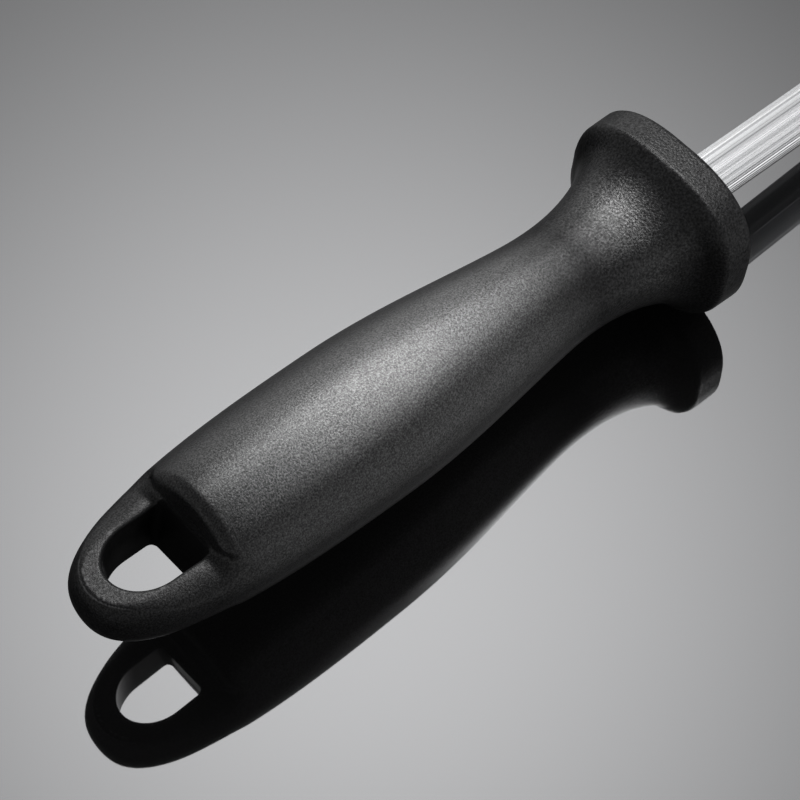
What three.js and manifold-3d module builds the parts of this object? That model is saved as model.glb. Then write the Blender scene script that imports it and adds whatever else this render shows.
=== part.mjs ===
// Knife sharpening steel: a fluted, chrome-plated round rod whose notched tang is locked in a stiff
// moulded core, with the outer grip moulded over the core. Millimetres.
//
// The pieces are drawn in handle coordinates: +X runs along the rod's axis from the butt of the
// handle to the tip of the rod, +Z goes up through the hanging hole, and the axis is at y = z = 0.
// The last group moves them so that the whole object's box stands on z = 0, centred on the origin.
import * as THREE from 'three';
import { mergeVertices } from 'three/addons/utils/BufferGeometryUtils.js';
import Module from 'manifold-3d';

// ---------------------------------------------------------------- driving dimensions

const HANDLE_LENGTH = 142;          // butt to the front face of the guard
const BELLY_X = 61;                 // widest place of the barrel
const BELLY_HALF_WIDTH = 15.8;
const BELLY_HALF_HEIGHT = 14.3;
const BUTT_EXPONENT = 2.75;         // superellipse that rounds the barrel off towards the butt
const NECK_X = 123;                 // where the barrel would reach its slimmest
const NECK_HALF_WIDTH = 10.7;
const NECK_HALF_HEIGHT = 10.7;
const BARREL_EXPONENT = 1.95;       // section of the barrel: very nearly an ellipse

const FLARE_START_X = 112;          // the hollow flare up to the guard
const FLARE_EXPONENT = 1.6;
const GUARD_RIM_LENGTH = 8;         // band round the guard, a little wider at its front edge
const GUARD_HALF_WIDTH = 20.3;
const GUARD_REAR_HALF_WIDTH = 19.85;
const GUARD_HALF_HEIGHT = 17.5;
const GUARD_EXPONENT = 2.55;        // section of the guard: a bowed, rounded square
const GUARD_FLAT_DEPTH = 0.15;      // crown taken off each side to leave a flat
const GUARD_EDGE = 0.8;             // broken front edge of the rim

const RING_HALF_THICKNESS = 5.8;    // flat faces around the hanging hole
const SHOULDER_RISE = 7;            // height over which the shoulder leans forward
const SHOULDER_LEAN = 2.9;
const SHOULDER_EXPONENT = 1.7;
const HOLE_REAR_X = 5.7;            // hanging hole, round towards the butt, square towards the barrel
const HOLE_REAR_RADIUS = 5.65;
const HOLE_FRONT_X = 21.5;
const HOLE_FRONT_HALF_WIDTH = 6.55;
const HOLE_CORNER_RADIUS = 0.8;

const ROD_DIAMETER = 10;
const ROD_EXPOSED_LENGTH = 250;
const FLUTE_COUNT = 48;
const FLUTE_DEPTH = 0.16;
const TIP_LENGTH = 4;               // rounded nose of the rod
const TIP_RADIUS = 2.2;             // radius of the small flat on the nose
const ROD_SEAT_X = 126;             // the full-diameter rod ends here inside the guard

const TANG_RADIUS = 4;
const TANG_END_X = 33;
const TANG_BLADE_LENGTH = 12;       // flattened end that stops the rod from turning
const TANG_BLADE_THICKNESS = 5.4;
const NOTCH_COUNT = 5;
const NOTCH_FIRST_X = 54;
const NOTCH_PITCH = 14;
const NOTCH_LENGTH = 4;
const NOTCH_DEPTH = 0.9;

const CORE_END_X = 29;
const CORE_END_RADIUS = 5.5;
const CORE_RADIUS = 8.6;
const CORE_NECK_RADIUS = 7.4;
const CORE_NECK_X = 100;
const CORE_FLANGE_X = 129;          // disc that backs the guard
const CORE_FLANGE_LENGTH = 6;
const CORE_FLANGE_RADIUS = 10.6;
const CORE_OVALITY = 1.1;           // wider than high, so that the grip can't turn on it
const COLLAR_COUNT = 3;
const COLLAR_FIRST_X = 44;
const COLLAR_PITCH = 20;
const COLLAR_LENGTH = 5;
const COLLAR_HEIGHT = 1.2;

const FIT_GAP = 0.3;                // clearance kept between touching pieces

const GRIP_SIDES = 48;
const LATHE_SIDES = 28;
const BUTT_STEPS = 13;
const BARREL_STEPS = 9;
const FLARE_STEPS = 9;
const SHOULDER_STEPS = 5;

const ROD_RADIUS = ROD_DIAMETER / 2;
const GUARD_REAR_X = HANDLE_LENGTH - GUARD_RIM_LENGTH;
const ROD_TIP_X = HANDLE_LENGTH + ROD_EXPOSED_LENGTH;
const CUT_MARGIN = 10;              // how far cutting solids reach past what they cut

// ---------------------------------------------------------------- solids

const wasm = await Module();
wasm.setup();

/** Closed three.js geometry to a solid: shared corners merged, collapsed triangles dropped. */
function toSolid(geometry) {
  const bare = geometry.clone();
  bare.deleteAttribute('normal');
  bare.deleteAttribute('uv');
  const merged = mergeVertices(bare, 1e-4);
  const corners = [];
  for (let i = 0; i < merged.index.count; i += 3) {
    const [a, b, c] = [0, 1, 2].map((k) => merged.index.getX(i + k));
    if (a !== b && b !== c && c !== a) {
      corners.push(a, b, c);
    }
  }
  return new wasm.Manifold(new wasm.Mesh({
    numProp: 3,
    vertProperties: Float32Array.from(merged.attributes.position.array),
    triVerts: Uint32Array.from(corners),
  }));
}

/** Solid back to a three.js geometry. */
function toGeometry(solid) {
  const mesh = solid.getMesh();
  const geometry = new THREE.BufferGeometry();
  geometry.setAttribute('position', new THREE.BufferAttribute(mesh.vertProperties, 3));
  geometry.setIndex(new THREE.BufferAttribute(mesh.triVerts, 1));
  geometry.computeVertexNormals();
  return geometry;
}

/** Solid of revolution about the X axis from [x, radius] pairs, which run from rear to front. */
function turned(profile, sides = LATHE_SIDES) {
  const points = profile.map(([x, radius]) => new THREE.Vector2(radius, x));
  const geometry = new THREE.LatheGeometry(points, sides);
  geometry.rotateZ(-Math.PI / 2);
  return toSolid(geometry);
}

/** Box from its lowest and highest corners. */
function block(low, high) {
  const size = high.map((value, i) => value - low[i]);
  const geometry = new THREE.BoxGeometry(...size);
  geometry.translate(...low.map((value, i) => value + size[i] / 2));
  return toSolid(geometry);
}

/** Closed skin over rings of points, with one point at each end. */
function lofted(rearPoint, rings, frontPoint) {
  const sides = rings[0].length;
  const positions = [rearPoint, ...rings.flat(), frontPoint].flat();
  const last = rings.length * sides + 1;
  const triangles = [];
  for (let i = 0; i < sides; i += 1) {
    const next = (i + 1) % sides;
    triangles.push(0, 1 + next, 1 + i);
    for (let r = 0; r < rings.length - 1; r += 1) {
      const a = 1 + r * sides;
      const b = a + sides;
      triangles.push(a + i, a + next, b + next);
      triangles.push(a + i, b + next, b + i);
    }
    const front = 1 + (rings.length - 1) * sides;
    triangles.push(front + i, front + next, last);
  }
  const geometry = new THREE.BufferGeometry();
  geometry.setAttribute('position', new THREE.Float32BufferAttribute(positions, 3));
  geometry.setIndex(triangles);
  return toSolid(geometry);
}

// ---------------------------------------------------------------- outer shape of the handle

/** Half size of the barrel and flare at x, for one direction (width or height). */
function halfSize(x, belly, neck, guard) {
  const barrelAt = (place) => {
    if (place < BELLY_X) {
      const back = 1 - place / BELLY_X;
      return belly * (1 - back ** BUTT_EXPONENT) ** (1 / BUTT_EXPONENT);
    }
    const along = Math.min((place - BELLY_X) / (NECK_X - BELLY_X), 1);
    return neck + (belly - neck) * (0.5 + 0.5 * Math.cos(Math.PI * along));
  };
  const rise = flareShare(x);
  const curve = 1 - (1 - rise ** FLARE_EXPONENT) ** (1 / FLARE_EXPONENT);
  return barrelAt(x) + (guard - barrelAt(GUARD_REAR_X)) * curve;
}

/** How far along the flare x lies: 0 at its start, 1 at the rim of the guard. */
function flareShare(x) {
  const share = (x - FLARE_START_X) / (GUARD_REAR_X - FLARE_START_X);
  return Math.min(Math.max(share, 0), 1);
}

/** One ring of points: a superellipse across the axis at x. */
function sectionRing(x, halfWidth, halfHeight, exponent, crown = 0) {
  const ring = [];
  for (let i = 0; i < GRIP_SIDES; i += 1) {
    const angle = (i + 0.5) * 2 * Math.PI / GRIP_SIDES;
    const across = Math.sign(Math.cos(angle)) * Math.abs(Math.cos(angle)) ** (2 / exponent);
    const up = Math.sign(Math.sin(angle)) * Math.abs(Math.sin(angle)) ** (2 / exponent);
    const y = THREE.MathUtils.clamp((halfWidth + crown) * across, -halfWidth, halfWidth);
    const z = THREE.MathUtils.clamp((halfHeight + crown) * up, -halfHeight, halfHeight);
    ring.push([x, y, z]);
  }
  return ring;
}

function handleEnvelope() {
  const places = [];
  for (let i = 1; i <= BUTT_STEPS; i += 1) {
    const turn = i / BUTT_STEPS * Math.PI / 2;
    places.push(BELLY_X * (1 - Math.cos(turn) ** (2 / BUTT_EXPONENT)));
  }
  for (let i = 1; i <= BARREL_STEPS; i += 1) {
    places.push(BELLY_X + (FLARE_START_X - BELLY_X) * i / BARREL_STEPS);
  }
  for (let i = 1; i < FLARE_STEPS; i += 1) {
    const share = Math.sin(i / FLARE_STEPS * Math.PI / 2);
    places.push(FLARE_START_X + (GUARD_REAR_X - FLARE_START_X) * share);
  }
  const rings = places.map((x) => sectionRing(
    x,
    halfSize(x, BELLY_HALF_WIDTH, NECK_HALF_WIDTH, GUARD_REAR_HALF_WIDTH),
    halfSize(x, BELLY_HALF_HEIGHT, NECK_HALF_HEIGHT, GUARD_HALF_HEIGHT),
    THREE.MathUtils.lerp(BARREL_EXPONENT, GUARD_EXPONENT, flareShare(x)),
  ));
  const rim = [
    [GUARD_REAR_X, GUARD_REAR_HALF_WIDTH, GUARD_HALF_HEIGHT],
    [HANDLE_LENGTH - GUARD_EDGE, GUARD_HALF_WIDTH, GUARD_HALF_HEIGHT],
    [HANDLE_LENGTH, GUARD_HALF_WIDTH - GUARD_EDGE, GUARD_HALF_HEIGHT - GUARD_EDGE],
  ];
  for (const [x, halfWidth, halfHeight] of rim) {
    rings.push(sectionRing(x, halfWidth, halfHeight, GUARD_EXPONENT, GUARD_FLAT_DEPTH));
  }
  return lofted([0, 0, 0], rings, [HANDLE_LENGTH, 0, 0]);
}

/** Outline of the hanging hole seen from above: a round rear end, straight sides, two corners. */
function holeOutline() {
  const rearCentre = HOLE_REAR_X + HOLE_REAR_RADIUS;
  const cornerX = HOLE_FRONT_X - HOLE_CORNER_RADIUS;
  const cornerY = HOLE_FRONT_HALF_WIDTH - HOLE_CORNER_RADIUS;
  const reach = Math.hypot(cornerX - rearCentre, cornerY);
  const tangent = Math.atan2(cornerY, cornerX - rearCentre)
    + Math.acos((HOLE_REAR_RADIUS - HOLE_CORNER_RADIUS) / reach);
  const outline = new THREE.Shape();
  outline.absarc(rearCentre, 0, HOLE_REAR_RADIUS, tangent, 2 * Math.PI - tangent, false);
  outline.absarc(cornerX, -cornerY, HOLE_CORNER_RADIUS, -tangent, 0, false);
  outline.absarc(cornerX, cornerY, HOLE_CORNER_RADIUS, 0, tangent, false);
  return outline;
}

function hangingHole() {
  const depth = 2 * (BELLY_HALF_HEIGHT + CUT_MARGIN);
  const geometry = new THREE.ExtrudeGeometry(holeOutline(), {
    depth,
    bevelEnabled: false,
    curveSegments: 9,
  });
  geometry.translate(0, 0, -depth / 2);
  return toSolid(geometry);
}

/** What is taken off the top of the butt: flat over the ring, then up the leaning shoulder. */
function ringRelief() {
  const top = RING_HALF_THICKNESS + SHOULDER_RISE + CUT_MARGIN;
  const outline = new THREE.Shape();
  outline.moveTo(-CUT_MARGIN, RING_HALF_THICKNESS);
  for (let i = 0; i <= SHOULDER_STEPS; i += 1) {
    const share = i / SHOULDER_STEPS * 1.2;
    outline.lineTo(
      HOLE_FRONT_X + SHOULDER_LEAN * share ** SHOULDER_EXPONENT,
      RING_HALF_THICKNESS + SHOULDER_RISE * share,
    );
  }
  outline.lineTo(HOLE_FRONT_X + CUT_MARGIN, top);
  outline.lineTo(-CUT_MARGIN, top);
  const depth = 2 * (BELLY_HALF_WIDTH + CUT_MARGIN);
  const geometry = new THREE.ExtrudeGeometry(outline, { depth, bevelEnabled: false });
  geometry.translate(0, 0, -depth / 2);
  geometry.rotateX(Math.PI / 2);
  return toSolid(geometry);
}

// ---------------------------------------------------------------- inner pieces

/** Tang of the rod: a notched bar with a flattened rear end. A clearance makes its cavity. */
function tang(clearance = 0) {
  const radius = TANG_RADIUS + clearance;
  const rear = TANG_END_X - clearance;
  const profile = [[rear, 0], [rear, radius]];
  for (let i = 0; i < NOTCH_COUNT; i += 1) {
    const start = NOTCH_FIRST_X + i * NOTCH_PITCH + clearance;
    const end = start + NOTCH_LENGTH - 2 * clearance;
    profile.push([start, radius], [start, radius - NOTCH_DEPTH]);
    profile.push([end, radius - NOTCH_DEPTH], [end, radius]);
  }
  profile.push([ROD_SEAT_X + 1, radius], [ROD_SEAT_X + 1, 0]);
  const side = TANG_BLADE_THICKNESS / 2 + clearance;
  const reach = TANG_RADIUS + CUT_MARGIN;
  const bladeEnd = TANG_END_X + TANG_BLADE_LENGTH - clearance;
  const upper = block([rear - 1, -reach, side], [bladeEnd, reach, reach]);
  const lower = block([rear - 1, -reach, -reach], [bladeEnd, reach, -side]);
  return turned(profile).subtract(upper).subtract(lower);
}

/** Outside of the core, with its locking collars and the disc that backs the guard. */
function coreEnvelope(clearance = 0) {
  const slimmed = (x) => THREE.MathUtils.lerp(
    CORE_RADIUS,
    CORE_NECK_RADIUS,
    THREE.MathUtils.clamp((x - BELLY_X) / (CORE_NECK_X - BELLY_X), 0, 1),
  ) + clearance;
  const collar = (start, length, height) => [
    [start - clearance, slimmed(start)],
    [start - clearance, height + clearance],
    [start + length + clearance, height + clearance],
    [start + length + clearance, slimmed(start + length)],
  ];
  const rear = CORE_END_X - clearance;
  const profile = [[rear, 0], [rear, CORE_END_RADIUS + clearance], [CORE_END_X + 5, slimmed(0)]];
  for (let i = 0; i < COLLAR_COUNT; i += 1) {
    const start = COLLAR_FIRST_X + i * COLLAR_PITCH;
    profile.push(...collar(start, COLLAR_LENGTH, slimmed(start) - clearance + COLLAR_HEIGHT));
  }
  profile.push([CORE_NECK_X, slimmed(CORE_NECK_X)]);
  profile.push(...collar(CORE_FLANGE_X, CORE_FLANGE_LENGTH, CORE_FLANGE_RADIUS));
  const front = HANDLE_LENGTH + (clearance > 0 ? CUT_MARGIN : 0);
  profile.push([front, slimmed(front)], [front, 0]);
  return turned(profile).scale([1, CORE_OVALITY, 1]);
}

function rodBore() {
  const radius = ROD_RADIUS + FIT_GAP;
  const rear = ROD_SEAT_X - FIT_GAP;
  const front = HANDLE_LENGTH + CUT_MARGIN;
  return turned([[rear, 0], [rear, radius], [front, radius], [front, 0]]);
}

/** The fluted rod: a toothed ring of crests and roots, drawn in over the rounded nose. */
function flutedRod() {
  const noseSteps = [0, 0.35, 0.65, 0.88, 1];
  const ringAt = (x, radius, depth) => {
    const ring = [];
    for (let i = 0; i < 2 * FLUTE_COUNT; i += 1) {
      const angle = i * Math.PI / FLUTE_COUNT;
      const reach = radius - (i % 2) * depth;
      ring.push([x, reach * Math.cos(angle), reach * Math.sin(angle)]);
    }
    return ring;
  };
  const rings = [ringAt(ROD_SEAT_X, ROD_RADIUS, FLUTE_DEPTH)];
  for (const share of noseSteps) {
    const drop = (ROD_RADIUS - TIP_RADIUS) * (1 - Math.sqrt(1 - share ** 2));
    const fade = FLUTE_DEPTH * (1 - share);
    rings.push(ringAt(ROD_TIP_X - TIP_LENGTH * (1 - share), ROD_RADIUS - drop, fade));
  }
  return lofted([ROD_SEAT_X, 0, 0], rings, [ROD_TIP_X, 0, 0]);
}

// ---------------------------------------------------------------- pieces

const blackPolymer = new THREE.MeshStandardMaterial({
  color: 0x1b1b1d,
  roughness: 0.62,
  metalness: 0,
});
const corePolymer = new THREE.MeshStandardMaterial({
  color: 0x2c2c2f,
  roughness: 0.5,
  metalness: 0,
});
const chromedSteel = new THREE.MeshStandardMaterial({
  color: 0xd4d8dc,
  roughness: 0.22,
  metalness: 1,
});

function makeGrip() {
  const upperRelief = ringRelief();
  const lowerRelief = upperRelief.mirror([0, 0, 1]);
  return handleEnvelope()
    .subtract(upperRelief)
    .subtract(lowerRelief)
    .subtract(hangingHole())
    .subtract(coreEnvelope(FIT_GAP));
}

function makeCore() {
  return coreEnvelope().subtract(tang(FIT_GAP)).subtract(rodBore());
}

function makeRod() {
  return flutedRod().add(tang());
}

function piece(name, solid, material) {
  const mesh = new THREE.Mesh(toGeometry(solid), material);
  mesh.name = name;
  return mesh;
}

const steel = new THREE.Group();
steel.add(piece('handle_grip', makeGrip(), blackPolymer));
steel.add(piece('handle_core', makeCore(), corePolymer));
steel.add(piece('sharpening_rod', makeRod(), chromedSteel));
steel.position.set(-ROD_TIP_X / 2, 0, GUARD_HALF_HEIGHT);

const part = new THREE.Group();
part.add(steel);

export default part;
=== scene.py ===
"""Looks of the knife sharpening steel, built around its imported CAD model.

The three pieces are drawn in handle coordinates, in millimetres: x = 0 at the butt of the handle, +X
towards the tip of the rod, +Z up through the hanging hole, and the rod's axis at y = z = 0. place()
moves them into the row frame, in metres, from the boxes of the CAD nodes.
"""

import math

import bpy
import numpy as np
from mathutils import Matrix, Vector


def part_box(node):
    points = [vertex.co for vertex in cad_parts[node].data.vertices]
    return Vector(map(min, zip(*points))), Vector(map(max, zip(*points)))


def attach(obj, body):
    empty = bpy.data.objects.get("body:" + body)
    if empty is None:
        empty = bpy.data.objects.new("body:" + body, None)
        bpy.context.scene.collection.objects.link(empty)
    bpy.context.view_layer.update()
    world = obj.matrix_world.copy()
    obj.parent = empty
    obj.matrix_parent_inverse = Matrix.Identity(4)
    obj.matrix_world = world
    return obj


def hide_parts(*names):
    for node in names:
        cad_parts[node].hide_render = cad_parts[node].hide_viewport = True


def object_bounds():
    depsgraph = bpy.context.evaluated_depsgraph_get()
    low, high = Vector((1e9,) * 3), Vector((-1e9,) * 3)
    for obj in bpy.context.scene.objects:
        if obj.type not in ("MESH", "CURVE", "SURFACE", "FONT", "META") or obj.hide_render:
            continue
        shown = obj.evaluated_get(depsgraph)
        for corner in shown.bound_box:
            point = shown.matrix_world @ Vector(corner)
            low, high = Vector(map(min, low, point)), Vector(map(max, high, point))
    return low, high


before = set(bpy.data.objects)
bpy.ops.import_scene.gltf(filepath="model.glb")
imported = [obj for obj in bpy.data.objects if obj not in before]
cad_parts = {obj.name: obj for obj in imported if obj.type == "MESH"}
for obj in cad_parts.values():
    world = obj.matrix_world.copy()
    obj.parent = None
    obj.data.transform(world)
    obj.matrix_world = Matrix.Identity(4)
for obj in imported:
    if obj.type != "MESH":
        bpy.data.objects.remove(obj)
cad_bounds = [list(corner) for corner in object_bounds()]

# ---------------------------------------------------------------- sizes from the CAD model

MM = 0.001
GRIP_LOW, GRIP_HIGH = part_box("handle_grip")
ROD_LOW, ROD_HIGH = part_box("sharpening_rod")
AXIS_HEIGHT = (ROD_LOW.z + ROD_HIGH.z) / 2
HANDLE_LENGTH = (GRIP_HIGH.x - GRIP_LOW.x) / MM
GUARD_HALF_WIDTH = (GRIP_HIGH.y - GRIP_LOW.y) / 2 / MM
GUARD_HALF_HEIGHT = (GRIP_HIGH.z - GRIP_LOW.z) / 2 / MM
ROD_RADIUS = (ROD_HIGH.y - ROD_LOW.y) / 2 / MM
ROD_TIP_X = (ROD_HIGH.x - GRIP_LOW.x) / MM
FLOOR_HEIGHT = cad_bounds[0][2]

# ---------------------------------------------------------------- shape of the grip, millimetres

BELLY_X = 61                  # widest place of the barrel
BELLY_HALF_WIDTH = 15.8
BELLY_HALF_HEIGHT = 14.3
BUTT_EXPONENT = 2.75          # rounds the barrel off towards the butt
NECK_X = 123
NECK_RADIUS = 10.7
BARREL_EXPONENT = 1.95        # section of the barrel: very nearly an ellipse

FLARE_START_X = 104
FLARE_EXPONENT = 2.2
GUARD_BAND_LENGTH = 8
GUARD_REAR_X = HANDLE_LENGTH - GUARD_BAND_LENGTH
GUARD_REAR_HALF_WIDTH = 20.1
GUARD_EXPONENT = 2.55         # section of the guard: a bowed, rounded square
GUARD_CROWN = 0.05            # crown that the flats on its sides take off
GUARD_REAR_ROUND = 2.2
GUARD_FRONT_ROUND = 0.8

RING_HALF_THICKNESS = 5.55    # flat faces round the hanging hole
RING_EDGE_CRISP = 0.45        # rounding of the ring's outer edge at the butt
RING_EDGE_SOFT = 3.4          # and where it runs into the barrel
RING_SOFTENING = (3, 17)      # where the one turns into the other
SHOULDER_X = 22.1             # wall that ends the ring, where it starts from the flat faces
SHOULDER_LEAN = 0.165         # run per rise of that wall
SHOULDER_FOOT_ROUND = 2.0     # hollow between the ring and the wall
CREASE_ROUND = 2.0            # top edge of the wall
CREASE_HEIGHTS = (1, 3)       # above the ring, where that rounding takes over
HOLE_REAR_X = 5.95
HOLE_REAR_LENGTH = 8          # its rear end is half an ellipse
HOLE_HALF_WIDTH = 6.4         # half way through the ring
HOLE_CORNER_RADIUS = 1.3      # between its sides and its front wall
HOLE_DRAFT = 0.045            # it widens upwards by this much per rise
HOLE_FRONT_LEAN = 0.19        # run per rise of its front wall
HOLE_UPPER_LEAN = 0.015       # the same above the ring, clear of the shoulder
HOLE_RIM_ROUND = 0.8
HOLE_RIM_FADE = 0.9           # length over which the rim gets sharper towards the front wall
HOLE_FRONT_ROUND = 0.3        # rim where the front wall runs on into the shoulder

# ---------------------------------------------------------------- rod, tang and core, millimetres

FLUTE_COUNT = 48
FLUTE_POINTS = 8
FLUTE_DEPTH = 0.16
FLUTE_LEAST_DEPTH = 0.75      # shallowest flute, as a share of FLUTE_DEPTH
FLUTE_WANDER = 0.09           # most that a flute lies to one side, as a share of the spacing
FLUTE_FLATNESS = 1.6          # flattens the crests and the roots
FLUTE_SEED = 7
TIP_LENGTH = 4
TIP_RADIUS = 2.2
TIP_STEPS = 8
ROD_SEAT_X = 126
ROD_STEP = 4
TANG_RADIUS = 4
TANG_END_X = 33
TANG_BLADE_LENGTH = 12
TANG_BLADE_THICKNESS = 5.4
NOTCH_FIRST_X = 54
NOTCH_COUNT = 5
NOTCH_PITCH = 14
NOTCH_LENGTH = 4
NOTCH_DEPTH = 0.9

CORE_END_X = 29
CORE_END_RADIUS = 5.5
CORE_END_LENGTH = 5           # taper at its end
CORE_RADIUS = 8.6
CORE_NECK_RADIUS = 7.4
CORE_NECK_X = 100
CORE_FLANGE_X = 129
CORE_FLANGE_LENGTH = 6
CORE_FLANGE_RADIUS = 10.6
CORE_OVALITY = 1.1
CORE_SIDES = 96
COLLAR_FIRST_X = 44
COLLAR_COUNT = 3
COLLAR_PITCH = 20
COLLAR_LENGTH = 5
COLLAR_HEIGHT = 1.2
FIT_GAP = 0.3
EDGE_BREAK = 0.25             # small chamfers of the moulded and turned inner pieces
CORE_SHARP_ANGLE = 35         # degrees: an edge that bends more stays sharp
ROD_SHARP_ANGLE = 50

# ---------------------------------------------------------------- mesh of the grip, millimetres

FINEST = 0.45                 # finest spacing of the grid
GRID_X = [                    # (start, end, spacing as a multiple of the finest)
    (-1, 12, 0.7), (12, 28, 1), (28, 112, 2.6), (112, 131, 1.5), (131, 137, 0.75), (137, 143, 1),
]
GRID_Y = [(-21, -14, 1.25), (-14, 14, 1), (14, 21, 1.25)]
GRID_Z = [
    (-18.4, -14, 1.25), (-14, -6, 1), (-6, -4.8, 0.5), (-4.8, 4.8, 1.2),
    (4.8, 6, 0.5), (6, 14, 1), (14, 18.4, 1.25),
]
HALVINGS = 12                 # to find where a grid line goes through the surface
SLOPE_STEP = 0.02             # over which a field's slope is taken
SHARP_SLOPE_STEP = 0.004      # the same, next to a sharp edge
PULL_TO_MIDDLE = 0.05         # keeps a point near the middle of its crossings where the surface is flat
SETTLING_ROUNDS = 3           # to move the points onto the rounded surface
SETTLING_LIMIT = 0.3
LEAST_SLOPE = 0.3
EDGE_PROBE = 0.15             # reach over which the sharpness of an edge is felt
EDGE_BENDS = (1.4, 2.2)       # bends per millimetre, from no wear to full wear and painted highlight
EDGE_WEAR_AND_HIGHLIGHT_END = (9, 15)       # where the wear and painted highlight on the ring's edge fade out
HOLE_WALL_BLEND = 0.4         # width of the change from the grain to the smooth wall of the hole
HOLE_WALL_TOP = (-0.5, 1)     # heights above the ring over which the grain comes back

# ---------------------------------------------------------------- signed fields, negative inside


def both(a, b, radius):
    """Inside both fields, with the edge between them rounded."""
    corner = np.hypot(np.maximum(a + radius, 0), np.maximum(b + radius, 0))
    return np.minimum(np.maximum(a, b), -radius) + corner


def either(a, b, radius):
    """Inside either field, with the inner corner between them filled."""
    corner = np.hypot(np.maximum(radius - a, 0), np.maximum(radius - b, 0))
    return np.maximum(np.minimum(a, b), radius) - corner


def gradient(field, p, step=SLOPE_STEP):
    slopes = []
    for axis in range(3):
        shift = np.zeros(3)
        shift[axis] = step
        slopes.append((field(p + shift) - field(p - shift)) / (2 * step))
    return np.stack(slopes, axis=-1)


def as_distance(field, p):
    """Turns a field's value into a length, true close to its surface."""
    slope = np.linalg.norm(gradient(field, p), axis=-1)
    return field(p) / np.maximum(slope, 1e-3)


def superellipse(p, half_width, half_height, exponent):
    """1 on the section's outline, and in proportion along each ray from the axis."""
    across = np.abs(p[..., 1] / half_width) ** exponent
    up = np.abs(p[..., 2] / half_height) ** exponent
    return (across + up + 1e-12) ** (1 / exponent)


def butt_field(p):
    """The barrel behind its widest place: a superellipsoid."""
    section = superellipse(p, BELLY_HALF_WIDTH, BELLY_HALF_HEIGHT, BARREL_EXPONENT)
    back = np.abs(1 - p[..., 0] / BELLY_X)
    return (section ** BUTT_EXPONENT + back ** BUTT_EXPONENT) ** (1 / BUTT_EXPONENT) - 1


def flare_field(p):
    """The barrel ahead of its widest place, and the hollow flare up to the guard."""
    x = p[..., 0]
    along = np.clip((x - BELLY_X) / (NECK_X - BELLY_X), 0, 1)
    swell = 0.5 + 0.5 * np.cos(math.pi * along)
    half_width = NECK_RADIUS + (BELLY_HALF_WIDTH - NECK_RADIUS) * swell
    half_height = NECK_RADIUS + (BELLY_HALF_HEIGHT - NECK_RADIUS) * swell
    inner = superellipse(p, half_width, half_height, BARREL_EXPONENT)
    outer = superellipse(p, GUARD_REAR_HALF_WIDTH, GUARD_HALF_HEIGHT, GUARD_EXPONENT)
    rise = (1 - 1 / inner) / (1 / outer - 1 / inner)
    share = np.maximum((x - FLARE_START_X) / (GUARD_REAR_X - FLARE_START_X), 0)
    left = np.maximum(1 - rise, 0)
    curved = (left ** FLARE_EXPONENT + share ** FLARE_EXPONENT) ** (1 / FLARE_EXPONENT)
    return 1 - curved


def guard_field(p):
    """The band round the guard: a bowed section, a little wider in front, with four flats."""
    along = np.clip((p[..., 0] - GUARD_REAR_X) / (HANDLE_LENGTH - GUARD_REAR_X), 0, 1)
    half_width = GUARD_REAR_HALF_WIDTH + (GUARD_HALF_WIDTH - GUARD_REAR_HALF_WIDTH) * along
    bowed = superellipse(
        p, half_width + GUARD_CROWN, GUARD_HALF_HEIGHT + GUARD_CROWN, GUARD_EXPONENT
    )
    return np.maximum.reduce([
        (bowed - 1) * GUARD_HALF_HEIGHT,
        np.abs(p[..., 1]) - half_width,
        np.abs(p[..., 2]) - GUARD_HALF_HEIGHT,
    ])


def envelope(p, rounded):
    """Outside of the handle, before anything is cut from it."""
    ahead = p[..., 0] > BELLY_X
    barrel = np.where(ahead, as_distance(flare_field, p), as_distance(butt_field, p))
    skin = both(barrel, guard_field(p), GUARD_REAR_ROUND if rounded else 0)
    return both(skin, p[..., 0] - HANDLE_LENGTH, GUARD_FRONT_ROUND if rounded else 0)


def relief(p, rounded):
    """What is left once the ring is made thin: flat above the ring, then up the leaning shoulder."""
    height = np.abs(p[..., 2])
    wall = SHOULDER_X + SHOULDER_LEAN * (height - RING_HALF_THICKNESS)
    behind = (wall - p[..., 0]) / math.hypot(1, SHOULDER_LEAN)
    return either(height - RING_HALF_THICKNESS, behind, SHOULDER_FOOT_ROUND if rounded else 0)


def hole(p):
    """Inside of the hanging hole: a round rear end, straight sides, and a front wall under the shoulder."""
    depth = p[..., 2] - RING_HALF_THICKNESS
    widening = HOLE_DRAFT * np.clip(p[..., 2], -RING_HALF_THICKNESS, RING_HALF_THICKNESS)
    length, width = HOLE_REAR_LENGTH + widening, HOLE_HALF_WIDTH + widening
    x = np.minimum(p[..., 0] - HOLE_REAR_X - HOLE_REAR_LENGTH, 0)
    reach = np.hypot(x / length, p[..., 1] / width)
    slope = np.hypot(x / length ** 2, p[..., 1] / width ** 2)
    sides = np.where(reach > 0.01, reach * (reach - 1) / np.maximum(slope, 1e-4), -HOLE_HALF_WIDTH)
    wall = SHOULDER_X + np.where(depth > 0, HOLE_UPPER_LEAN, HOLE_FRONT_LEAN) * depth
    return both(sides, p[..., 0] - wall, HOLE_CORNER_RADIUS)


def core_radius(x):
    """Radius of the core between its collars."""
    slimming = np.clip((x - BELLY_X) / (CORE_NECK_X - BELLY_X), 0, 1)
    return CORE_RADIUS + (CORE_NECK_RADIUS - CORE_RADIUS) * slimming


def collars():
    """Start, length and radius of each collar of the core, and of the disc behind the guard."""
    rings = []
    for i in range(COLLAR_COUNT):
        start = COLLAR_FIRST_X + i * COLLAR_PITCH
        rings.append((start, COLLAR_LENGTH, float(core_radius(start)) + COLLAR_HEIGHT))
    return rings + [(CORE_FLANGE_X, CORE_FLANGE_LENGTH, CORE_FLANGE_RADIUS)]


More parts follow.
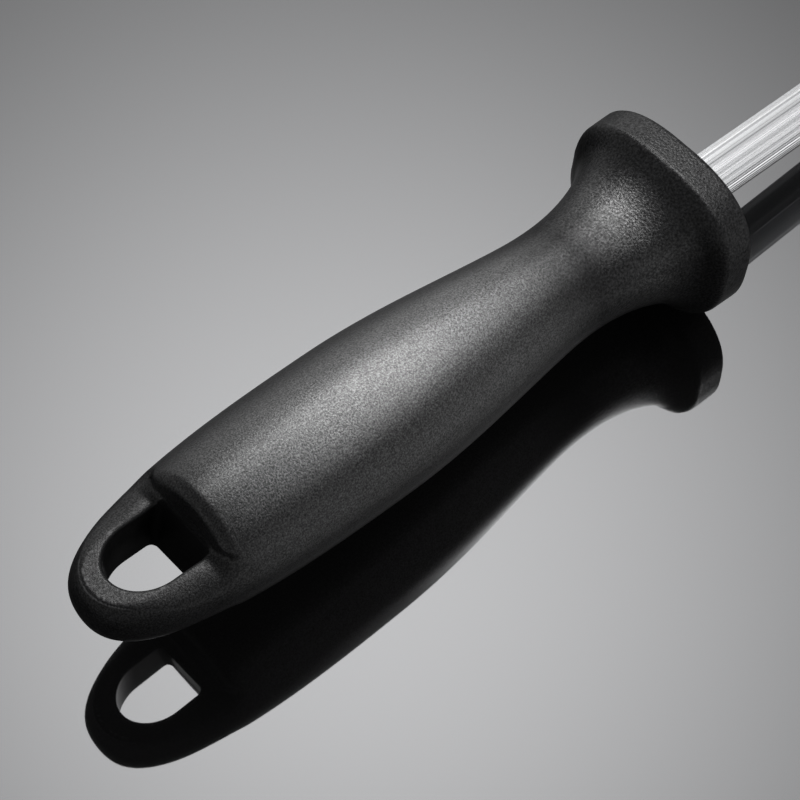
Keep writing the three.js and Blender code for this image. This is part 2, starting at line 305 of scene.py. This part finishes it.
def cavity(p):
    """The room that the core takes up inside the grip, open at the guard's front face."""
    x = p[..., 0]
    radius = np.hypot(p[..., 1] / CORE_OVALITY, p[..., 2]) - FIT_GAP
    inside = np.maximum(radius - core_radius(x), CORE_END_X - FIT_GAP - x)
    taper = (CORE_RADIUS - CORE_END_RADIUS) / CORE_END_LENGTH
    cone = (radius - CORE_END_RADIUS - (x - CORE_END_X) * taper) / math.hypot(1, taper)
    inside = np.maximum(inside, cone)
    for start, length, reach in collars():
        across = np.maximum(start - FIT_GAP - x, x - start - length - FIT_GAP)
        inside = np.minimum(inside, np.maximum(radius - reach, across))
    return inside


def eased(value, start, end):
    share = np.clip((value - start) / (end - start), 0, 1)
    return share * share * (3 - 2 * share)


def outer_skin(p, rounded):
    """The handle with its ring made thin, before the hole and the cavity."""
    soft = eased(p[..., 0], *RING_SOFTENING)
    round_off = RING_EDGE_CRISP + (RING_EDGE_SOFT - RING_EDGE_CRISP) * soft
    up = eased(np.abs(p[..., 2]) - RING_HALF_THICKNESS, *CREASE_HEIGHTS)
    round_off = round_off + (CREASE_ROUND - round_off) * up
    return both(envelope(p, rounded), relief(p, rounded), round_off if rounded else 0)


def grip_field(p, rounded=True):
    front = eased(p[..., 0], SHOULDER_X - HOLE_RIM_FADE, SHOULDER_X)
    rim = HOLE_RIM_ROUND + (HOLE_FRONT_ROUND - HOLE_RIM_ROUND) * front
    solid = both(outer_skin(p, rounded), -hole(p), rim if rounded else 0)
    return both(solid, -cavity(p), EDGE_BREAK if rounded else 0)


def sharp_grip(p):
    return grip_field(p, rounded=False)


# ---------------------------------------------------------------- surface of a field


def graded(stretches, finest):
    """Grid lines through stretches of (start, end, spacing as a multiple of the finest)."""
    lines = []
    for start, end, multiple in stretches:
        count = max(round((end - start) / (multiple * finest)), 1)
        lines.append(np.linspace(start, end, count, endpoint=False))
    return np.concatenate(lines + [[stretches[-1][1]]])


def crossing_points(field, low, high, low_inside):
    """Where each grid edge goes through the surface, by halving."""
    for _ in range(HALVINGS):
        middle = (low + high) / 2
        same = (field(middle) < 0) == low_inside
        low = np.where(same[:, None], middle, low)
        high = np.where(same[:, None], high, middle)
    return (low + high) / 2


def surface_of(sharp, rounded, lines):
    """Quads over a field, by dual contouring: one point in each grid cell that the surface crosses, drawn
    to the edges of the sharp field, then moved onto the rounded one. Returns points, quads and normals."""
    x, y, z = lines
    inside = np.empty((len(x), len(y), len(z)), bool)
    yz = np.stack(np.meshgrid(y, z, indexing="ij"), axis=-1)
    for i, place in enumerate(x):
        slab = np.concatenate([np.full(yz.shape[:2] + (1,), place), yz], axis=-1)
        inside[i] = sharp(slab) < 0
    cells = np.array(inside.shape) - 1
    corner_ids, places, normals, quads = [], [], [], []
    for axis in range(3):
        shape = np.array(inside.shape)
        shape[axis] -= 1
        first = inside[tuple(slice(0, n) for n in shape)]
        far = [slice(0, n) for n in shape]
        far[axis] = slice(1, shape[axis] + 1)
        at = np.argwhere(first != inside[tuple(far)])
        side_a, side_b = (axis + 1) % 3, (axis + 2) % 3
        step = np.eye(3, dtype=int)[axis]
        low = np.stack([line[at[:, k]] for k, line in enumerate(lines)], axis=-1)
        high = np.stack([line[(at + step)[:, k]] for k, line in enumerate(lines)], axis=-1)
        low_inside = inside[tuple(at.T)]
        point = crossing_points(sharp, low, high, low_inside)
        slope = gradient(sharp, point, SHARP_SLOPE_STEP)
        slope /= np.linalg.norm(slope, axis=-1, keepdims=True)
        around = []
        for a, b in ((-1, -1), (0, -1), (0, 0), (-1, 0)):
            cell = at.copy()
            cell[:, side_a] += a
            cell[:, side_b] += b
            around.append((cell[:, 0] * cells[1] + cell[:, 1]) * cells[2] + cell[:, 2])
            corner_ids.append(around[-1])
            places.append(point)
            normals.append(slope)
        around = np.stack(around, axis=-1)
        quads.append(np.where(low_inside[:, None], around, around[:, ::-1]))
    ids, index = np.unique(np.concatenate(corner_ids), return_inverse=True)
    places, normals = np.concatenate(places), np.concatenate(normals)
    count = np.bincount(index, minlength=len(ids))
    mean = np.stack([np.bincount(index, places[:, k]) for k in range(3)], axis=-1) / count[:, None]
    offset = np.einsum("ij,ij->i", normals, places - mean[index])
    square = np.empty((len(ids), 3, 3))
    right = np.empty((len(ids), 3, 1))
    for a in range(3):
        right[:, a, 0] = np.bincount(index, normals[:, a] * offset)
        for b in range(3):
            square[:, a, b] = np.bincount(index, normals[:, a] * normals[:, b])
    square += PULL_TO_MIDDLE * np.eye(3)
    points = mean + np.linalg.solve(square, right)[:, :, 0]
    cell = np.stack([ids // (cells[1] * cells[2]), ids // cells[2] % cells[1], ids % cells[2]], axis=-1)
    low = np.stack([line[cell[:, k]] for k, line in enumerate(lines)], axis=-1)
    high = np.stack([line[cell[:, k] + 1] for k, line in enumerate(lines)], axis=-1)
    points = np.clip(points, low, high)
    for _ in range(SETTLING_ROUNDS):
        slope = gradient(rounded, points)
        size = np.maximum(np.einsum("ij,ij->i", slope, slope), LEAST_SLOPE)
        move = np.clip(rounded(points) / size, -SETTLING_LIMIT, SETTLING_LIMIT)
        points = points - move[:, None] * slope
    slope = gradient(rounded, points)
    slope /= np.linalg.norm(slope, axis=-1, keepdims=True)
    quads = np.searchsorted(ids, np.concatenate(quads))
    return points, quads, slope


# ---------------------------------------------------------------- lofts


def loft(rings):
    """Closed skin over rings of points, first to last, with a point in the middle of each end."""
    rings = np.array(rings)
    count, sides = rings.shape[:2]
    points = np.concatenate([rings.reshape(-1, 3), [rings[0].mean(0)], [rings[-1].mean(0)]])
    faces = []
    for i in range(sides):
        following = (i + 1) % sides
        faces.append((count * sides, following, i))
        last = (count - 1) * sides
        faces.append((count * sides + 1, last + i, last + following))
    for r in range(count - 1):
        near, far = r * sides, (r + 1) * sides
        for i in range(sides):
            following = (i + 1) % sides
            faces.append((near + i, near + following, far + following, far + i))
    return points, faces


def ring(x, radii, angles, flat=None, ovality=1):
    """Ring of points round the axis. flat limits how far it reaches up and down."""
    y = radii * np.cos(angles) * ovality
    z = radii * np.sin(angles)
    if flat is not None:
        z = np.clip(z, -flat, flat)
    return np.stack([np.full_like(y, x), y, z], axis=-1)


def tang_profile(clearance=0):
    """[x, radius, flat] along the tang, from its end to the seat of the rod."""
    radius = TANG_RADIUS + clearance
    blade = TANG_BLADE_THICKNESS / 2 + clearance
    rear = TANG_END_X - clearance
    blade_end = TANG_END_X + TANG_BLADE_LENGTH - clearance
    profile = [
        [rear, radius - EDGE_BREAK, blade - EDGE_BREAK],
        [rear + EDGE_BREAK, radius, blade],
        [blade_end, radius, blade],
        [blade_end + EDGE_BREAK, radius, radius],
    ]
    for i in range(NOTCH_COUNT):
        start = NOTCH_FIRST_X + i * NOTCH_PITCH + clearance
        end = start + NOTCH_LENGTH - 2 * clearance
        low = radius - NOTCH_DEPTH
        profile.append([start - EDGE_BREAK / 2, radius, radius])
        profile.append([start + EDGE_BREAK / 2, low, radius])
        profile.append([end - EDGE_BREAK / 2, low, radius])
        profile.append([end + EDGE_BREAK / 2, radius, radius])
    profile.append([ROD_SEAT_X - clearance, radius, radius])
    return profile


def make_core():
    angles = np.arange(CORE_SIDES) * 2 * math.pi / CORE_SIDES
    full = np.ones(CORE_SIDES)
    outside = [[CORE_END_X, CORE_END_RADIUS - EDGE_BREAK], [CORE_END_X + EDGE_BREAK, CORE_END_RADIUS]]
    outside.append([CORE_END_X + CORE_END_LENGTH, CORE_RADIUS])
    for start, length, reach in collars():
        end = start + length
        outside += [[start - EDGE_BREAK / 2, float(core_radius(start))], [start, reach - EDGE_BREAK]]
        outside += [[start + EDGE_BREAK, reach], [end - EDGE_BREAK, reach]]
        outside += [[end, reach - EDGE_BREAK], [end + EDGE_BREAK / 2, float(core_radius(end))]]
    outside.append([HANDLE_LENGTH - EDGE_BREAK, CORE_NECK_RADIUS])
    outside.append([HANDLE_LENGTH, CORE_NECK_RADIUS - EDGE_BREAK])
    bore = ROD_RADIUS + FIT_GAP
    rings = [ring(x, full * radius, angles, ovality=CORE_OVALITY) for x, radius in outside]
    rings.append(ring(HANDLE_LENGTH, full * (bore + EDGE_BREAK), angles))
    rings.append(ring(HANDLE_LENGTH - EDGE_BREAK, full * bore, angles))
    rings.append(ring(ROD_SEAT_X - FIT_GAP, full * bore, angles))
    for x, radius, flat in reversed(tang_profile(FIT_GAP)):
        rings.append(ring(x, full * radius, angles, flat))
    return loft(rings)


def make_rod():
    """The fluted rod and its plain tang, in one skin. Each flute's depth and lie differ slightly."""
    rng = np.random.default_rng(FLUTE_SEED)
    sides = FLUTE_COUNT * FLUTE_POINTS
    place = np.arange(sides) / FLUTE_POINTS
    number = np.arange(sides) // FLUTE_POINTS
    groove = np.clip(np.cos(2 * math.pi * place) * FLUTE_FLATNESS, -1, 1)
    depth = FLUTE_DEPTH * rng.uniform(FLUTE_LEAST_DEPTH, 1.0, FLUTE_COUNT)[number]
    lie = rng.uniform(-FLUTE_WANDER, FLUTE_WANDER, FLUTE_COUNT)[number]
    lie = lie * np.sin(math.pi * (place - number)) ** 2
    angles = (place + lie) * 2 * math.pi / FLUTE_COUNT
    full = np.ones(sides)
    rings = [ring(x, full * radius, angles, flat) for x, radius, flat in tang_profile()]

    def fluted(x, radius, fade):
        rings.append(ring(x, radius - depth * fade * (0.5 - 0.5 * groove), angles))

    fluted(ROD_SEAT_X, ROD_RADIUS - EDGE_BREAK, 0)
    fluted(ROD_SEAT_X + EDGE_BREAK, ROD_RADIUS, 0)
    nose_x = ROD_TIP_X - TIP_LENGTH
    runs = round((nose_x - ROD_SEAT_X) / ROD_STEP)
    for i in range(1, runs):
        fluted(ROD_SEAT_X + (nose_x - ROD_SEAT_X) * i / runs, ROD_RADIUS, 1)
    for i in range(TIP_STEPS + 1):
        share = math.sin(i / TIP_STEPS * math.pi / 2)
        drop = (ROD_RADIUS - TIP_RADIUS) * (1 - math.sqrt(1 - share ** 2))
        fluted(nose_x + TIP_LENGTH * share, ROD_RADIUS - drop, 1 - share)
    return loft(rings)


# ---------------------------------------------------------------- pieces


def place(points):
    """Handle coordinates in millimetres to the row frame in metres."""
    origin = np.array([GRIP_LOW.x, (GRIP_LOW.y + GRIP_HIGH.y) / 2, AXIS_HEIGHT])
    return points * MM + origin


def new_piece(name, points, faces, material, slot):
    mesh = bpy.data.meshes.new(name)
    mesh.from_pydata(place(points).tolist(), [], [tuple(map(int, face)) for face in faces])
    mesh.materials.append(material)
    mesh.shade_smooth()
    piece = bpy.data.objects.new(name, mesh)
    bpy.context.scene.collection.objects.link(piece)
    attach(piece, "root")
    return piece


def keep_sharp(piece, angle):
    """Keeps edges that bend more than angle, in degrees, sharp."""
    piece.data.set_sharp_from_angle(angle=math.radians(angle))


def add_values(piece, name, values):
    attribute = piece.data.attributes.new(name, "FLOAT", "POINT")
    attribute.data.foreach_set("value", values.astype(np.float32))


def make_grip_piece(material):
    """The grip, with two values for its material: edge says how worn the butt's edge is, which also places
    a painted highlight along it, hole_wall where the smooth wall of the hole is."""
    finest = FINEST
    lines = [graded(stretches, finest) for stretches in (GRID_X, GRID_Y, GRID_Z)]
    points, quads, normals = surface_of(sharp_grip, grip_field, lines)
    piece = new_piece("grip_shell", points, quads, material, "grip_polymer")
    piece.data.normals_split_custom_set_from_vertices(normals.tolist())
    probes = EDGE_PROBE * np.concatenate([np.eye(3), -np.eye(3)])
    bend = -len(probes) * grip_field(points)
    for shift in probes:
        bend += grip_field(points + shift)
    bend /= EDGE_PROBE ** 2
    least, most = EDGE_BENDS
    # wear along the butt's edge, which also places a painted highlight there
    wear = np.clip((bend - least) / (most - least), 0, 1) * (1 - eased(points[:, 0], *EDGE_WEAR_AND_HIGHLIGHT_END))
    add_values(piece, "edge", wear)
    wall = np.clip((-hole(points) - outer_skin(points, True)) / HOLE_WALL_BLEND + 0.5, 0, 1)
    above = eased(np.abs(points[:, 2]) - RING_HALF_THICKNESS, *HOLE_WALL_TOP)
    add_values(piece, "hole_wall", wall * (1 - above))
    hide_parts("handle_grip")
    return piece


# ---------------------------------------------------------------- materials

PLASTIC_IOR = 1.5

# noise scales, as spots per metre, and bump depths in metres
FINE_GRAIN = 3100
COARSE_GRAIN = 2200
GRAIN_DETAIL = 2
GRAIN_HARSHNESS = 0.6         # share of the finer detail in the grain
GRAIN_DEPTH = 0.00005
COARSE_GAIN = 0.8             # how much deeper the coarse grain is
PATCHES = 55                  # faint changes of gloss
SATIN = 3200
SATIN_DEPTH = 0.00003
FLOW = 420                    # streaks along the core from moulding
FLOW_STRETCH = (0.25, 1, 1)
DRAWN_LINES = 1500            # lines along the rod: drawn streaks, and painted shade and sheen of the flutes
DRAWN_STRETCH = (0.002, 1, 1)
DRAWN_DEPTH = 0.00001
STAINS = 60
HAZE = 9                      # unevenness of the floor and the sheet

GRIP_ROUGHNESS = 0.24
PATCH_ROUGHNESS = 0.06        # what the patches and the grain add
GRAIN_ROUGHNESS = 0.1
COARSENESS = [(0.70, 0.0), (0.82, 1.0)]   # (place along the handle from 0 to 1, share of coarse grain)
GRAIN_SHINE = [(0.33, 0.25), (0.52, 0.56), (0.70, 1.0)]     # (height of the grain, share of the shine)
# painted highlight: the shine is raised and lowered along the handle to place the highlight
SHINE_ALONG = [               # (place along the handle from 0 to 1, share of the full shine)
    (0.14, 0.22), (0.21, 0.62), (0.36, 0.72), (0.45, 0.8), (0.62, 1.0), (0.70, 0.78),
    (0.745, 0.43), (0.79, 0.13), (0.84, 0.32), (0.88, 0.6), (0.94, 0.2),
]
FULL_SHINE = 1.45
HOLE_SHINE = (0.3, 0.3, 0.3)
SMOOTH_BLACK = (0.006, 0.006, 0.0062)
GRAIN_BLACK = (0.015, 0.015, 0.0155)
# pale grey of the butt's edge: partly wear, partly a painted highlight
WORN_AND_HIGHLIGHT_GREY = (0.2, 0.2, 0.203)
CORE_DARK = (0.021, 0.022, 0.023)
CORE_LIGHT = (0.031, 0.032, 0.034)
# dark and light lines of the rod: drawn streaks, and painted flute shade and sheen
STREAK_AND_SHADE_STEEL = (0.44, 0.445, 0.455)
STREAK_AND_SHEEN_STEEL = (0.74, 0.745, 0.755)
FLOOR_DARK = (0.76, 0.765, 0.78)
FLOOR_LIGHT = (0.80, 0.805, 0.82)
FLOOR_ROUGHNESS = 0.7
SHEET_MATT = (0.78, 0.785, 0.80, 1)
SHEET_MIRROR = (0.074, 0.0743, 0.0755, 1)
SHEET_ROUGHNESS = 0.02


class Nodes:
    """Short calls for building one node tree."""

    def __init__(self, name, world=False):
        self.owner = bpy.data.worlds.new(name) if world else bpy.data.materials.new(name)
        self.owner.use_nodes = True
        self.tree = self.owner.node_tree
        self.tree.nodes.clear()

    def add(self, kind, links=None, **settings):
        node = self.tree.nodes.new(kind)
        inputs = {}
        for key, value in settings.items():
            if hasattr(node, key):
                setattr(node, key, value)
            else:
                inputs[key] = value
        for key, value in inputs.items():
            node.inputs[key.replace("_", " ")].default_value = value
        for key, source in (links or {}).items():
            self.tree.links.new(source, node.inputs[key])
        return node

    def noise(self, vector, scale, detail=2.0, roughness=0.5):
        return self.add(
            "ShaderNodeTexNoise", {"Vector": vector},
            Scale=scale, Detail=detail, Roughness=roughness,
        ).outputs["Fac"]

    def math(self, operation, a, b):
        node = self.add("ShaderNodeMath", operation=operation)
        for socket, value in zip(node.inputs, (a, b)):
            if isinstance(value, (int, float)):
                socket.default_value = value
            else:
                self.tree.links.new(value, socket)
        return node.outputs[0]

    def ramp(self, value, *stops):
        """Colour or grey from value: stops are (place, grey or colour)."""
        node = self.add("ShaderNodeValToRGB", {"Fac": value})
        elements = node.color_ramp.elements
        while len(elements) < len(stops):
            elements.new(0.5)
        for element, (at, colour) in zip(elements, stops):
            element.position = at
            if isinstance(colour, (int, float)):
                colour = (colour, colour, colour)
            element.color = (*colour, 1)
        return node.outputs["Color"]

    def mix(self, share, a, b):
        node = self.add("ShaderNodeMix", data_type="RGBA")
        sockets = (node.inputs[0], node.inputs[6], node.inputs[7])
        for socket, value in zip(sockets, (share, a, b)):
            if hasattr(value, "is_output"):
                self.tree.links.new(value, socket)
            elif socket is node.inputs[0]:
                socket.default_value = value
            else:
                socket.default_value = (*value, 1)
        return node.outputs[2]

    def coordinates(self):
        return self.add("ShaderNodeTexCoord").outputs["Object"]

    def stretched(self, scale):
        return self.add(
            "ShaderNodeMapping", {"Vector": self.coordinates()}, Scale=scale,
        ).outputs["Vector"]

    def attribute(self, name):
        node = self.add("ShaderNodeAttribute")
        node.attribute_name = name
        return node.outputs["Fac"]

    def bump(self, height, strength, distance):
        return self.add(
            "ShaderNodeBump", {"Height": height}, Strength=strength, Distance=distance
        ).outputs["Normal"]

    def surface(self, links, **settings):
        shader = self.add("ShaderNodeBsdfPrincipled", links, **settings)
        self.add("ShaderNodeOutputMaterial", {"Surface": shader.outputs[0]})
        return self.owner


def grip_material():
    """Black moulded plastic with a spark-eroded grain, coarser at the guard, smooth in the hanging hole.
    Its shine along the handle, a painted highlight, was set to come close to the photograph's brightness
    under this scene's lamps, so it isn't a measured wear pattern. The butt's edge is pale from wear and a
    painted highlight."""
    n = Nodes("grip_polymer")
    where = n.coordinates()
    patches = n.noise(where, PATCHES, 3)
    along = n.add("ShaderNodeSeparateXYZ", {"Vector": where}).outputs["X"]
    along = n.math("MULTIPLY", n.math("SUBTRACT", along, GRIP_LOW.x), 1 / (HANDLE_LENGTH * MM))
    coarse = n.ramp(along, *COARSENESS)
    fine_grain = n.noise(where, FINE_GRAIN, GRAIN_DETAIL, GRAIN_HARSHNESS)
    coarse_grain = n.noise(where, COARSE_GRAIN, GRAIN_DETAIL, GRAIN_HARSHNESS)
    grain = n.mix(coarse, fine_grain, coarse_grain)
    textured = n.math("SUBTRACT", 1.0, n.attribute("hole_wall"))
    gain = n.math("ADD", n.math("MULTIPLY", coarse, COARSE_GAIN), 1.0)
    height = n.math("MULTIPLY", grain, gain)
    colour = n.ramp(grain, (0.35, SMOOTH_BLACK), (0.65, GRAIN_BLACK))
    # pale grey along the butt's edge: partly wear, partly a painted highlight
    colour = n.mix(n.attribute("edge"), colour, WORN_AND_HIGHLIGHT_GREY)
    colour = n.mix(textured, SMOOTH_BLACK, colour)
    rough = n.math("MULTIPLY", patches, PATCH_ROUGHNESS)
    rough = n.math("ADD", rough, n.math("MULTIPLY", grain, GRAIN_ROUGHNESS))
    rough = n.math("ADD", rough, GRIP_ROUGHNESS)
    shine = n.ramp(grain, *GRAIN_SHINE)
    # painted highlight: shine shaped along the handle
    shine = n.math("MULTIPLY", n.math("MULTIPLY", shine, n.ramp(along, *SHINE_ALONG)), FULL_SHINE)
    shine = n.mix(textured, HOLE_SHINE, shine)
    normal = n.bump(height, 1.0, GRAIN_DEPTH)
    return n.surface(
        {"Base Color": colour, "Roughness": rough, "Specular IOR Level": shine, "Normal": normal},
        IOR=PLASTIC_IOR,
    )


def core_material():
    """Stiffer, greyer plastic, with a fine satin."""
    n = Nodes("core_polymer")
    where = n.coordinates()
    satin = n.noise(where, SATIN, 2)
    flow = n.noise(n.stretched(FLOW_STRETCH), FLOW, 3)
    colour = n.ramp(flow, (0.3, CORE_DARK), (0.7, CORE_LIGHT))
    rough = n.math("ADD", n.math("MULTIPLY", flow, 0.2), 0.36)
    return n.surface(
        {"Base Color": colour, "Roughness": rough, "Normal": n.bump(satin, 0.3, SATIN_DEPTH)},
        IOR=PLASTIC_IOR,
    )


def rod_material():
    """Bright chromed steel, drawn lengthwise, with fine lines that are drawn streaks and painted flute
    shade and sheen, and slight stain and wear.
    """
    n = Nodes("chromed_steel")
    drawn = n.stretched(DRAWN_STRETCH)
    lines = n.noise(drawn, DRAWN_LINES, 1, 0.5)
    stain = n.noise(n.coordinates(), STAINS, 4)
    # dark and light lines: drawn streaks, and painted shade and sheen of the flutes
    colour = n.ramp(lines, (0.3, STREAK_AND_SHADE_STEEL), (0.7, STREAK_AND_SHEEN_STEEL))
    rough = n.math("ADD", n.math("MULTIPLY", lines, 0.06), n.math("MULTIPLY", stain, 0.08))
    rough = n.math("ADD", rough, 0.14)
    normal = n.bump(lines, 0.2, DRAWN_DEPTH)
    return n.surface({"Base Color": colour, "Roughness": rough, "Normal": normal}, Metallic=1.0)


def floor_material():
    """Plain pale floor, very slightly uneven in tone."""
    n = Nodes("studio_floor")
    haze = n.noise(n.coordinates(), HAZE, 2)
    colour = n.ramp(haze, (0.3, FLOOR_DARK), (0.7, FLOOR_LIGHT))
    return n.surface({"Base Color": colour}, Roughness=FLOOR_ROUGHNESS)


def sheet_material():
    """Dark sheet with a high gloss, which mirrors the light above it."""
    n = Nodes("gloss_sheet")
    haze = n.noise(n.coordinates(), HAZE, 2)
    rough = n.math("ADD", n.math("MULTIPLY", haze, SHEET_ROUGHNESS), SHEET_ROUGHNESS)
    matt = n.add("ShaderNodeBsdfDiffuse", Color=SHEET_MATT)
    gloss = n.add("ShaderNodeBsdfGlossy", {"Roughness": rough}, Color=SHEET_MIRROR)
    mixed = n.add("ShaderNodeMixShader", Fac=SHEET_GLOSS)
    n.tree.links.new(matt.outputs[0], mixed.inputs[1])
    n.tree.links.new(gloss.outputs[0], mixed.inputs[2])
    n.add("ShaderNodeOutputMaterial", {"Surface": mixed.outputs[0]})
    return n.owner


# ---------------------------------------------------------------- stage

FLOOR_HALF_SIZE = 30.0        # metres, as is all of the stage
WALL_BANDS = [                # (sine of the elevation, grey)
    (0.0, 0.5), (0.3, 0.5), (0.5, 0.12), (1.0, 0.08),
]
GLOW_FALL = 1.6               # a glow fades by exp(-GLOW_FALL) at its radius
GLOWS = [                     # heading from +X towards +Y, elevation and radius in degrees, grey
    (50.1, 61.9, 16.3, 7.1),
    (-22, 61, 20, 1.4),
    (61, 24, 20, 1.9),
]
SHEET_GLOSS = 0.99            # share of the sheet's light that is a clear reflection
SHEET_MIDDLE_X = -0.02
SHEET_HALF_LENGTH = 0.30
SHEET_HALF_WIDTH = 0.19
SHEET_THICKNESS = 0.003
LIGHT_TARGET = (70.0, 0.0, 14.0)          # handle coordinates, millimetres
GRIP_LIGHTS = [               # name, heading, elevation, distance, (length, width), radiance
    ("key_strip", 16, 60.5, 0.383, (0.06, 0.38), 10),
    ("long_strip", 6, 60.5, 0.383, (0.07, 0.76), 7.5),
    ("low_fill", -60, -20, 0.5, (0.6, 0.12), 3.3),
]
ROD_LIGHT = ("rod_fill", -62, 2, 0.6, (0.9, 0.7), 1.2)


def lying_height(x):
    """Height of the plane that the tool lies on: it touches the guard and the end of the rod."""
    tip_foot = ROD_HIGH.x - TIP_LENGTH * MM
    return FLOOR_HEIGHT + (x - GRIP_HIGH.x) * (ROD_LOW.z - FLOOR_HEIGHT) / (tip_foot - GRIP_HIGH.x)


def stage_piece(name, points, faces, material):
    mesh = bpy.data.meshes.new(name)
    mesh.from_pydata(points, [], faces)
    mesh.materials.append(material)
    piece = bpy.data.objects.new(name, mesh)
    bpy.context.scene.collection.objects.link(piece)


def make_floor():
    """A pale floor with a dark, glossy sheet on it, under the tool."""
    corners = [(-1, -1), (1, -1), (1, 1), (-1, 1)]
    floor = []
    sheet = []
    for x, y in corners:
        x, y = x * FLOOR_HALF_SIZE, y * FLOOR_HALF_SIZE
        floor.append((x, y, lying_height(x) - SHEET_THICKNESS))
    for thickness in (SHEET_THICKNESS, 0):
        for x, y in corners:
            x, y = SHEET_MIDDLE_X + x * SHEET_HALF_LENGTH, y * SHEET_HALF_WIDTH
            sheet.append((x, y, lying_height(x) - thickness))
    sides = [(i, (i + 1) % 4, (i + 1) % 4 + 4, i + 4) for i in range(4)]
    stage_piece("studio_floor", floor, [(0, 1, 2, 3)], floor_material())
    stage_piece("gloss_sheet", sheet, [(4, 5, 6, 7)] + sides, sheet_material())


def strip_light(lit, name, heading, elevation, distance, size, radiance):
    """Soft light that looks at the belly of the handle. It lights only the lit pieces, and nothing else
    shades it, so a low one shines as if through the sheet. Heading turns from +X towards +Y."""
    target = Vector(place(np.array(LIGHT_TARGET)))
    turn, rise = math.radians(heading), math.radians(elevation)
    away = Vector((math.cos(turn) * math.cos(rise), math.sin(turn) * math.cos(rise), math.sin(rise)))
    position = target + away * distance
    wide = Vector((1, 0, 0)) - away * away.x
    wide.normalize()
    axes = Matrix((wide, away.cross(wide), away)).transposed().to_4x4()
    light = bpy.data.lights.new(name, "AREA")
    light.shape = "RECTANGLE"
    light.size, light.size_y = size
    light.energy = math.pi * radiance * size[0] * size[1]
    lamp = bpy.data.objects.new(name, light)
    lamp.matrix_world = Matrix.Translation(position) @ axes
    lamp.visible_camera = False
    bpy.context.scene.collection.objects.link(lamp)
    receivers = bpy.data.collections.new(name + "_lit")
    for piece in lit:
        receivers.objects.link(piece)
    lamp.light_linking.receiver_collection = receivers
    lamp.light_linking.blocker_collection = receivers


def make_world():
    """Soft studio light from all round: a pale wall, a dimmer ceiling, and lamps that fade outwards."""
    n = Nodes("studio", world=True)
    direction = n.add("ShaderNodeTexCoord").outputs["Generated"]
    height = n.add("ShaderNodeSeparateXYZ", {"Vector": direction}).outputs["Z"]
    light = n.ramp(height, *WALL_BANDS)
    for heading, elevation, radius, grey in GLOWS:
        turn, rise = math.radians(heading), math.radians(elevation)
        towards = n.add("ShaderNodeVectorMath", operation="DOT_PRODUCT")
        n.tree.links.new(direction, towards.inputs[0])
        towards.inputs[1].default_value = (
            math.cos(turn) * math.cos(rise), math.sin(turn) * math.cos(rise), math.sin(rise)
        )
        angle = n.math("ARCCOSINE", towards.outputs["Value"], 0.0)
        share = n.math("DIVIDE", angle, math.radians(radius))
        fade = n.math("MULTIPLY", n.math("MULTIPLY", share, share), -GLOW_FALL)
        light = n.math("ADD", light, n.math("MULTIPLY", n.math("EXPONENT", fade, 0.0), grey))
    shade = n.add("ShaderNodeBackground", {"Color": light}, Strength=1.0)
    n.add("ShaderNodeOutputWorld", {"Surface": shade.outputs[0]})
    bpy.context.scene.world = n.owner


# ---------------------------------------------------------------- camera

CAMERA_LENS = 122.65          # millimetres
SENSOR_WIDTH = 36
CAMERA_AIM = (71.0, -1.07, 0.0)           # handle coordinates, millimetres
CAMERA_DISTANCE = 486.4
CAMERA_HEADING = 41.67        # degrees from +X towards +Y
CAMERA_DIVE = 54.26
CAMERA_ROLL = 7.4


def make_camera():
    heading, dive, roll = (math.radians(a) for a in (CAMERA_HEADING, CAMERA_DIVE, CAMERA_ROLL))
    forward = Vector((
        math.cos(heading) * math.cos(dive), math.sin(heading) * math.cos(dive), -math.sin(dive)
    ))
    level = forward.cross(Vector((0, 0, 1))).normalized()
    up = level.cross(forward)
    right = level * math.cos(roll) + up * math.sin(roll)
    up = up * math.cos(roll) - level * math.sin(roll)
    position = Vector(place(np.array(CAMERA_AIM))) - forward * CAMERA_DISTANCE * MM
    camera = bpy.data.cameras.new("camera")
    camera.sensor_width = SENSOR_WIDTH
    camera.lens = CAMERA_LENS
    camera.clip_start = 0.01
    view = bpy.data.objects.new("camera", camera)
    axes = Matrix((right, up, -forward)).transposed().to_4x4()
    view.matrix_world = Matrix.Translation(position) @ axes
    bpy.context.scene.collection.objects.link(view)
    bpy.context.scene.camera = view


# ---------------------------------------------------------------- the scene

grip = make_grip_piece(grip_material())
core = new_piece("core_body", *make_core(), core_material(), "core_polymer")
keep_sharp(core, CORE_SHARP_ANGLE)
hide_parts("handle_core")
rod = new_piece("fluted_rod", *make_rod(), rod_material(), "chromed_steel")
keep_sharp(rod, ROD_SHARP_ANGLE)
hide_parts("sharpening_rod")

make_floor()
make_world()
for light in GRIP_LIGHTS:
    strip_light((grip, core), *light)
strip_light((rod,), *ROD_LIGHT)
bpy.context.scene.view_settings.view_transform = "Standard"
make_camera()
